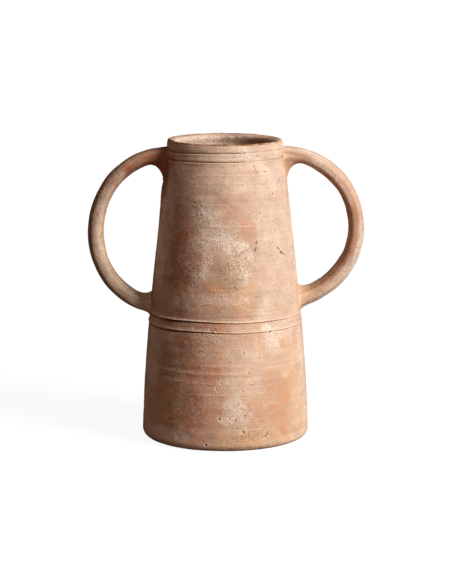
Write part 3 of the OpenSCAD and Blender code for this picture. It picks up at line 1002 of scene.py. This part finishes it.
def terracotta(name, wheel_made):
    """Unglazed clay: mottled reds and tans, a lime bloom, a dark brown in its hollows that is partly grime
    and partly painted shade, pale wear with painted highlights, fine streaks and grit. The streaks of
    wheel-made clay run round the pot, and those of a pulled handle run along it."""
    material = bpy.data.materials.new(name)
    material.use_nodes = True
    tree = Tree(material)
    shader = tree.nodes["Principled BSDF"]
    place = tree.add("ShaderNodeTexCoord").outputs["Object"]
    rough = tree.attribute("rough")
    if wheel_made:
        streaks = tree.noise(tree.stretched(place, (9, 9, 520)), 1.0, 3.0, 0.65)
        darkest, palest = 0.925, 1.06
    else:
        streaks = tree.attribute("grain")
        darkest, palest = 0.78, 1.18
    clouds = tree.noise(place, 75.0, 6.0, 0.68)
    grit = tree.noise(place, 900.0, 2.0, 0.7)
    crumbs = tree.noise(place, 380.0, 3.0, 0.75)
    pores = tree.add("ShaderNodeTexVoronoi", {"Vector": place, "Scale": 190.0})
    pore = tree.math("MULTIPLY", tree.spread(pores.outputs["Distance"], 0.13, 0.06),
                     tree.spread(pores.outputs["Color"], 0.60, 0.64))
    ragged = tree.spread(clouds, 0.35, 0.65, 0.5, 1.2)

    colour = BASE
    for layer, tint in (("ochre", OCHRE_COLOUR), ("rust", RUST_COLOUR), ("deep", DEEP_COLOUR)):
        colour = tree.mix(tree.math("MULTIPLY", tree.attribute(layer), ragged), colour, tint)
    colour = tree.mix(tree.attribute("shade"), colour, SHADE_COLOUR)
    flaked = tree.spread(crumbs, 0.40, 0.56, 0.3, 1.0)
    colour = tree.mix(tree.math("MULTIPLY", tree.attribute("bloom"), flaked), colour, BLOOM_COLOUR)
    flecks = tree.spread(tree.noise(place, 480.0, 2.0, 0.6), 0.60, 0.70, 0.0, 0.36)
    colour = tree.mix(tree.math("MULTIPLY", flecks, rough), colour, BLOOM_COLOUR)
    # Pale wear, with painted highlights and painted light
    colour = tree.mix(tree.attribute("wear_and_light"), colour, WEAR_AND_LIGHT_COLOUR)
    colour = tree.mix(1.0, colour, tree.spread(streaks, 0.3, 0.7, darkest, palest), "MULTIPLY")
    colour = tree.mix(1.0, colour, tree.spread(clouds, 0.3, 0.7, 0.84, 1.13), "MULTIPLY")
    grains = tree.mix(tree.spread(grit, 0.3, 0.7), GRIT_DARK, GRIT_LIGHT)
    gritty = tree.mix(rough, (1.0, 1.0, 1.0), grains)
    colour = tree.mix(1.0, colour, gritty, "MULTIPLY")
    if wheel_made:
        scrapes = tree.math("MAXIMUM", tree.scrape(place, 52, 1.0), tree.scrape(place, -38, 2.0))
        scratched = tree.math("MULTIPLY", scrapes, rough)
        colour = tree.mix(tree.math("MULTIPLY", scratched, 0.35), colour, BLOOM_COLOUR)
    colour = tree.mix(tree.math("MULTIPLY", pore, 0.85), colour, DIRT_AND_SHADE_COLOUR)
    # Grime, and painted shade in grooves, pits, creases and crevices
    colour = tree.mix(tree.attribute("dirt_and_shade"), colour, DIRT_AND_SHADE_COLOUR)
    tree.links.new(colour, shader.inputs["Base Color"])

    tree.links.new(tree.spread(clouds, 0.3, 0.7, 0.80, 0.95), shader.inputs["Roughness"])
    shader.inputs["Specular IOR Level"].default_value = 0.2
    fine = tree.math("MULTIPLY", tree.math("ADD", grit, tree.math("MULTIPLY", crumbs, 0.5)), rough)
    height = tree.math("ADD", fine, tree.math("MULTIPLY", streaks, 0.32))
    height = tree.math("SUBTRACT", height, tree.math("MULTIPLY", pore, 0.8))
    if wheel_made:
        height = tree.math("SUBTRACT", height, tree.math("MULTIPLY", scratched, 0.2))
    bump = tree.add("ShaderNodeBump", {"Height": height, "Strength": 1.0, "Distance": 0.00105})
    tree.links.new(bump.outputs["Normal"], shader.inputs["Normal"])
    return material


clay = terracotta("body_terracotta", True)
band_clay = terracotta("band_terracotta", True)
handle_clay = terracotta("handle_terracotta", False)

base_piece(clay)
ring_piece("lower_wall", FLOOR_Z, BELT_Z, clay)
ring_piece("belt_ring", BELT_Z, BELT_TOP, band_clay)
ring_piece("upper_wall", BELT_TOP, NECK_Z, clay)
ring_piece("neck_band", NECK_Z, LIP_Z, band_clay)
lip_piece(band_clay)
for word, side in (("left", -1), ("right", 1)):
    centre = handle_centre(word, side)
    handle_piece(word, side, centre, handle_clay)
    for end in (1, -1):
        root_piece(word, side, end, centre, handle_clay)


# ---- floor, light and camera

def stage_floor():
    """A pale floor that shows white, with the pot's soft shadow on it, and throws little light back."""
    material = bpy.data.materials.new("floor")
    material.use_nodes = True
    tree = Tree(material)
    output = tree.nodes["Material Output"]
    seen = tree.add("ShaderNodeLightPath").outputs["Is Camera Ray"]
    glow = tree.add("ShaderNodeEmission", {"Color": (1, 1, 1, 1), "Strength": 0.93})
    pale = tree.add("ShaderNodeBsdfDiffuse", {"Color": (0.11, 0.11, 0.108, 1)})
    dull = tree.add("ShaderNodeBsdfDiffuse", {"Color": (0.16, 0.11, 0.09, 1)})
    both = tree.add("ShaderNodeAddShader", {0: glow.outputs[0], 1: pale.outputs[0]})
    shown = tree.add("ShaderNodeMixShader", {0: seen, 1: dull.outputs[0], 2: both.outputs[0]})
    tree.links.new(shown.outputs[0], output.inputs["Surface"])
    bpy.ops.mesh.primitive_circle_add(vertices=96, radius=30, fill_type="NGON")
    floor = bpy.context.object
    floor.name = "floor"
    floor.data.materials.append(material)


def sun(name, azimuth, elevation, softness, strength, colour):
    """A far, wide light. Azimuth 0 is the camera's side and 90 is its right."""
    light = bpy.data.lights.new(name, "SUN")
    light.angle = math.radians(softness)
    light.energy = strength
    light.color = colour
    lamp = bpy.data.objects.new(name, light)
    lamp.rotation_euler = (math.radians(90 - elevation), 0, math.radians(azimuth))
    bpy.context.scene.collection.objects.link(lamp)


def surroundings():
    """White behind the pot, and a dim warm light from all round."""
    world = bpy.data.worlds.new("studio")
    bpy.context.scene.world = world
    world.use_nodes = True
    tree = Tree(world)
    output = tree.nodes["World Output"]
    seen = tree.add("ShaderNodeLightPath").outputs["Is Camera Ray"]
    white = tree.add("ShaderNodeBackground", {"Color": (1, 1, 1, 1), "Strength": 1.0})
    dim = tree.add("ShaderNodeBackground", {"Color": (1.0, 0.66, 0.52, 1), "Strength": 0.15})
    shown = tree.add("ShaderNodeMixShader", {0: seen, 1: dim.outputs[0], 2: white.outputs[0]})
    tree.links.new(shown.outputs[0], output.inputs["Surface"])


def camera():
    """A long lens a little above the rim, looking down at the middle of the pot."""
    data = bpy.data.cameras.new("camera")
    data.sensor_width = 36
    data.lens = 134.4
    view = bpy.data.objects.new("camera", data)
    distance, height, aim_z, aside = 2.3, 0.562, 0.1549, 0.0008
    view.location = (aside, -distance, height)
    view.rotation_euler = (math.radians(90) - math.atan2(height - aim_z, distance), 0, 0)
    bpy.context.scene.collection.objects.link(view)
    bpy.context.scene.camera = view


stage_floor()
surroundings()
sun("key", 56, 30, 30, 4.85, (1.0, 0.98, 0.95))
camera()
bpy.context.scene.view_settings.view_transform = "Standard"
bpy.context.scene.view_settings.look = "None"
